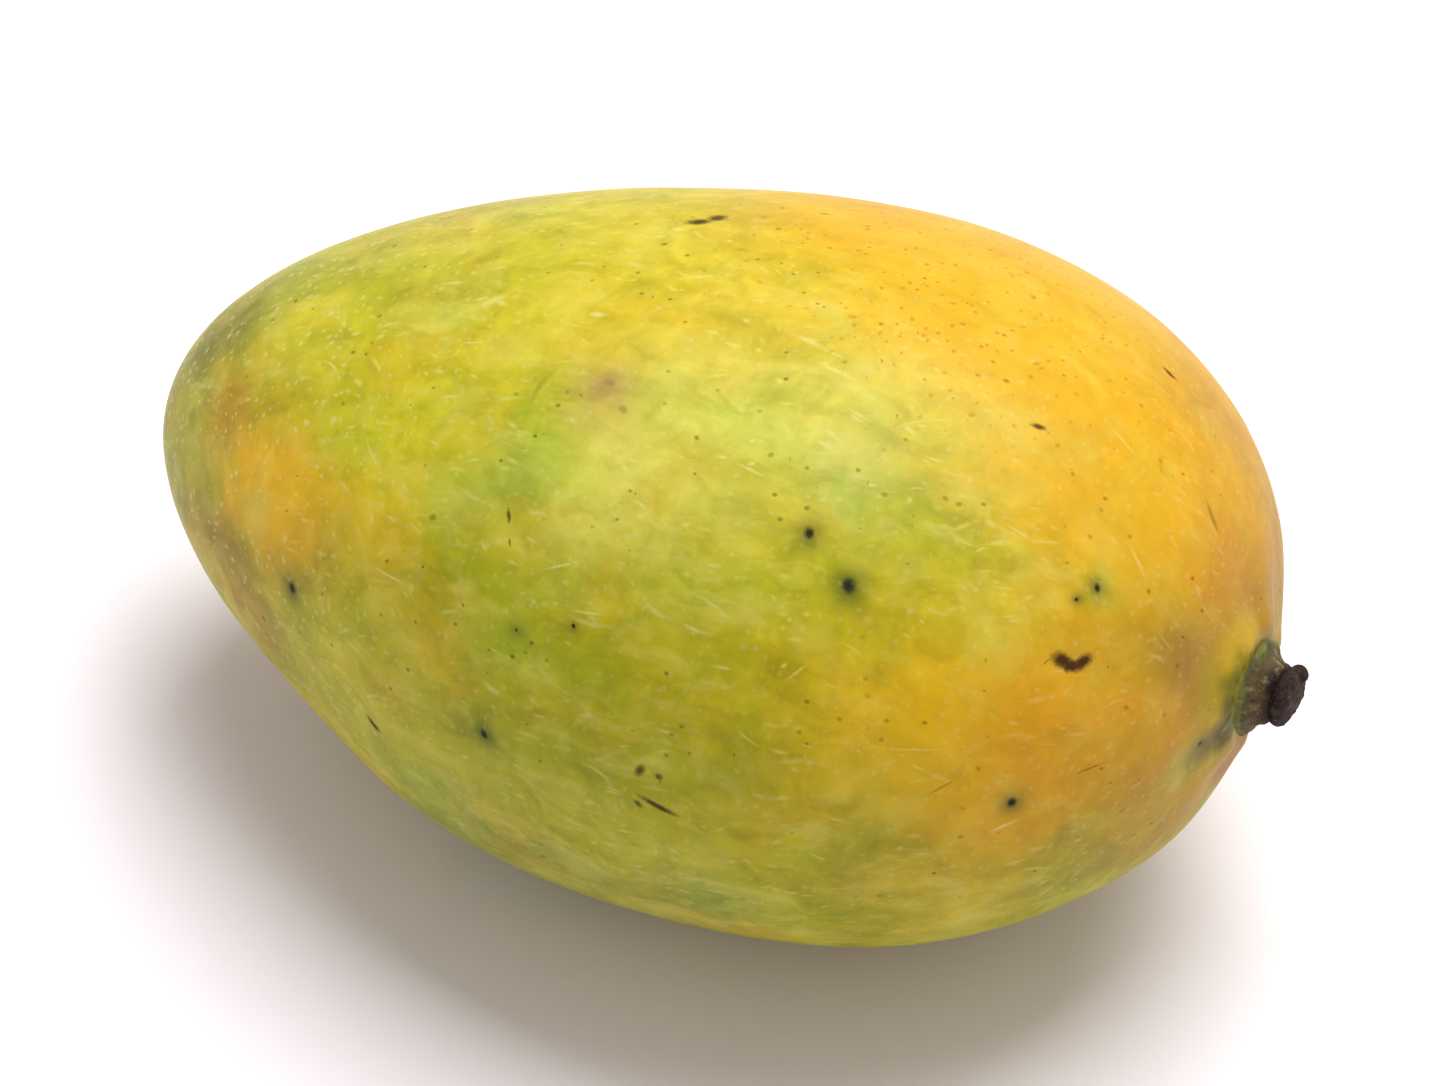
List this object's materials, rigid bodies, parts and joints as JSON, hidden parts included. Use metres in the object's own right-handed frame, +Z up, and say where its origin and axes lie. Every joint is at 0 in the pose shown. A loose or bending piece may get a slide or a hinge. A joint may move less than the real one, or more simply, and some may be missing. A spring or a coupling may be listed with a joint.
{
  "type": "mango fruit",
  "caption": "Whole ripe mango with mottled yellow-green skin and a short dark stalk stub, lying on its flatter side on a small flat spot.",
  "frame": {"origin": "middle of the bounding box's base, on the plane of the resting spot", "axes": "+X from the fruit's narrow tip to its stalk, +Y towards the side of the beak, +Z up from the resting spot"},
  "size_m": [0.1248, 0.08, 0.0719],
  "materials": {
    "skin": "smooth waxy skin, satin, mottled yellow and green with pale lenticels and dark flecks",
    "bark": "rough, dry and scurfy, almost black at the broken end"
  },
  "bodies": {
    "root": {"fruit": "skin", "stalk": "bark"}
  },
  "joints": []
}
